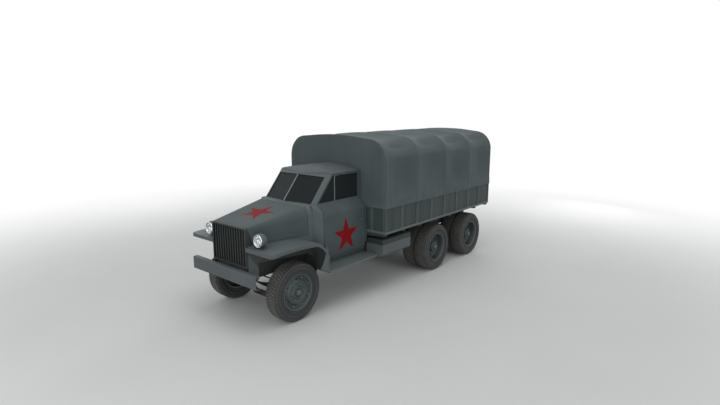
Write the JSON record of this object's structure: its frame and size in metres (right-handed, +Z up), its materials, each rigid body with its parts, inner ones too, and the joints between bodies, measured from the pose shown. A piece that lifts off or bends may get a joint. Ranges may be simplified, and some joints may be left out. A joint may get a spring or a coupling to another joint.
{
  "type": "military cargo truck",
  "caption": "Bonneted three-axle army cargo truck with a dropped front axle, twin rear wheels, timber cargo bed and canvas tilt on hoops.",
  "frame": {"origin": "on the ground, below the middle of the truck's outer box", "axes": "+X forward, +Y to the truck's left, +Z up"},
  "size_m": [6.368, 2.38, 2.7568],
  "materials": {
    "body_paint": "matte",
    "dark_paint": "matte",
    "chassis_paint": "satin",
    "timber": "matte",
    "bearer_timber": "matte",
    "canvas": "matte",
    "tyre_rubber": "matte",
    "rim_paint": "satin",
    "glass": "gloss",
    "lens_glass": "gloss",
    "lamp_chrome": "polished",
    "iron": "satin",
    "spring_steel": "satin",
    "seat_cover": "matte",
    "black_trim": "matte"
  },
  "bodies": {
    "chassis": {"bed_floor": "timber", "bed_frame": "bearer_timber", "bows": "dark_paint", "bumper_front": "dark_paint", "cab_controls": "black_trim", "cab_floor": "dark_paint", "cab_glass": "glass", "cab_rear_wall": "body_paint", "cab_roof": "body_paint", "cab_sides": "body_paint", "canvas_tilt": "canvas", "cowl": "body_paint", "dashboard": "dark_paint", "engine_bay_sides": "body_paint", "engine_block": "iron", "exhaust": "iron", "fenders": "body_paint", "frame": "chassis_paint", "front_axle_beam": "chassis_paint", "front_board": "timber", "front_springs": "spring_steel", "fuel_tank": "body_paint", "grille": "dark_paint", "headlamp_lenses": "lens_glass", "headlamps": "lamp_chrome", "propshafts": "iron", "radiator": "iron", "rear_axles": "iron", "rear_springs": "spring_steel", "running_boards": "body_paint", "seat_back": "seat_cover", "seat_cushion": "seat_cover", "side_boards": "timber", "steering_column": "black_trim", "tail_lamps": "dark_paint", "tool_box": "body_paint", "windscreen_frame": "body_paint"},
    "steering_wheel": {"steering_wheel": "black_trim"},
    "knuckle_left": {"steering_knuckle_left": "iron"},
    "knuckle_right": {"steering_knuckle_right": "iron"},
    "tie_rod": {"tie_rod": "iron"},
    "wheel_front_left": {"tyre_front_left": "tyre_rubber", "rim_front_left": "rim_paint"},
    "wheel_front_right": {"tyre_front_right": "tyre_rubber", "rim_front_right": "rim_paint"},
    "wheels_rear_1_left": {"tyres_rear_1_left": "tyre_rubber", "rim_rear_1_left": "rim_paint"},
    "wheels_rear_1_right": {"tyres_rear_1_right": "tyre_rubber", "rim_rear_1_right": "rim_paint"},
    "wheels_rear_2_left": {"tyres_rear_2_left": "tyre_rubber", "rim_rear_2_left": "rim_paint"},
    "wheels_rear_2_right": {"tyres_rear_2_right": "tyre_rubber", "rim_rear_2_right": "rim_paint"},
    "door_left": {"door_left": "body_paint", "door_glass_left": "glass"},
    "door_right": {"door_right": "body_paint", "door_glass_right": "glass"},
    "hood": {"hood": "body_paint"},
    "tailgate": {"tailgate": "timber"}
  },
  "joints": [
    {"name": "steer_left", "type": "hinge", "parent": "chassis", "child": "knuckle_left", "pos_m": [2.439, 0.583, 0.465], "axis": [0, 0, 1], "range_deg": [-25, 25]},
    {"name": "steer_right", "type": "hinge", "parent": "chassis", "child": "knuckle_right", "pos_m": [2.439, -0.583, 0.465], "axis": [0, 0, 1], "range_deg": [-25, 25]},
    {"name": "tie_rod_swing", "type": "hinge", "parent": "knuckle_left", "child": "tie_rod", "pos_m": [2.254, 0.583, 0.437], "axis": [0, 0, 1], "range_deg": [-25, 25]},
    {"name": "wheel_front_left_spin", "type": "hinge", "parent": "knuckle_left", "child": "wheel_front_left", "pos_m": [2.439, 0.744, 0.465], "axis": [0, 1, 0], "continuous": true},
    {"name": "wheel_front_right_spin", "type": "hinge", "parent": "knuckle_right", "child": "wheel_front_right", "pos_m": [2.439, -0.744, 0.465], "axis": [0, 1, 0], "continuous": true},
    {"name": "wheels_rear_1_left_spin", "type": "hinge", "parent": "chassis", "child": "wheels_rear_1_left", "pos_m": [-1.064, 0.8775, 0.465], "axis": [0, 1, 0], "continuous": true},
    {"name": "wheels_rear_1_right_spin", "type": "hinge", "parent": "chassis", "child": "wheels_rear_1_right", "pos_m": [-1.064, -0.8775, 0.465], "axis": [0, 1, 0], "continuous": true},
    {"name": "wheels_rear_2_left_spin", "type": "hinge", "parent": "chassis", "child": "wheels_rear_2_left", "pos_m": [-2.451, 0.8775, 0.465], "axis": [0, 1, 0], "continuous": true},
    {"name": "wheels_rear_2_right_spin", "type": "hinge", "parent": "chassis", "child": "wheels_rear_2_right", "pos_m": [-2.451, -0.8775, 0.465], "axis": [0, 1, 0], "continuous": true},
    {"name": "door_left_swing", "type": "hinge", "parent": "chassis", "child": "door_left", "pos_m": [1.764, 0.75415, 1.2], "axis": [0, 0, -1], "range_deg": [0, 65]},
    {"name": "door_right_swing", "type": "hinge", "parent": "chassis", "child": "door_right", "pos_m": [1.764, -0.75415, 1.2], "axis": [0, 0, 1], "range_deg": [0, 65]},
    {"name": "hood_lift", "type": "hinge", "parent": "chassis", "child": "hood", "pos_m": [1.9935, 0, 1.68476], "axis": [0, -1, 0], "range_deg": [0, 50]},
    {"name": "tailgate_drop", "type": "hinge", "parent": "chassis", "child": "tailgate", "pos_m": [-3.184, 0, 1.116], "axis": [0, -1, 0], "range_deg": [0, 90]},
    {"name": "steering_wheel_turn", "type": "hinge", "parent": "chassis", "child": "steering_wheel", "pos_m": [1.43, 0.34, 1.46], "axis": [-0.6428, 0, 0.766], "range_deg": [-390, 390]}
  ],
  "couplings": [
    {"joint": "steer_right", "follows": "steer_left", "ratio": 1},
    {"joint": "tie_rod_swing", "follows": "steer_left", "ratio": -1},
    {"joint": "steering_wheel_turn", "follows": "steer_left", "ratio": 15}
  ]
}
